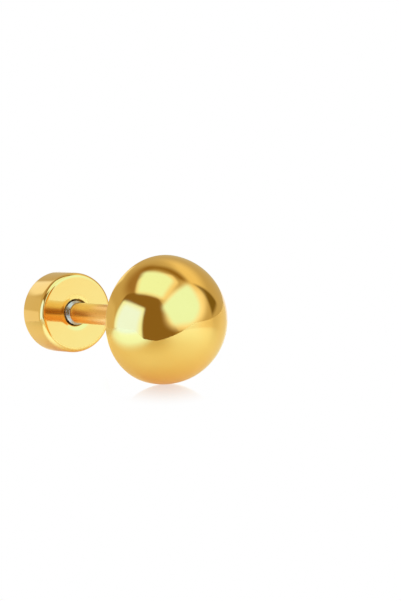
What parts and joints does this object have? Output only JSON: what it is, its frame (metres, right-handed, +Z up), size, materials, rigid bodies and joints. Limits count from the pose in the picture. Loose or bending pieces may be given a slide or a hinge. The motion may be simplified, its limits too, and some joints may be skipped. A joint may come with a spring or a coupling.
{
  "type": "stud earring",
  "caption": "Gold-plated half-ball stud earring lying on its side, with a straight post, a bare steel thread and a round screw back.",
  "frame": {"origin": "on the surface it lies on, under the middle of the box around the earring", "axes": "+Z up, the head faces -Y and the screw back is towards +Y, +X is to the right seen from the head's front"},
  "size_m": [0.008, 0.0178, 0.0078],
  "materials": {
    "gold_plate": "mirror-polished gold plating on stainless steel",
    "bare_steel": "bare rolled thread, unplated"
  },
  "bodies": {
    "stud": {"stud": "gold_plate"},
    "back": {"screw_back": "gold_plate"}
  },
  "joints": [
    {"name": "back_unscrews", "type": "slide", "parent": "stud", "child": "back", "axis": [0, 0.9936, -0.1128], "range_m": [-0.0002, 0.002]}
  ]
}
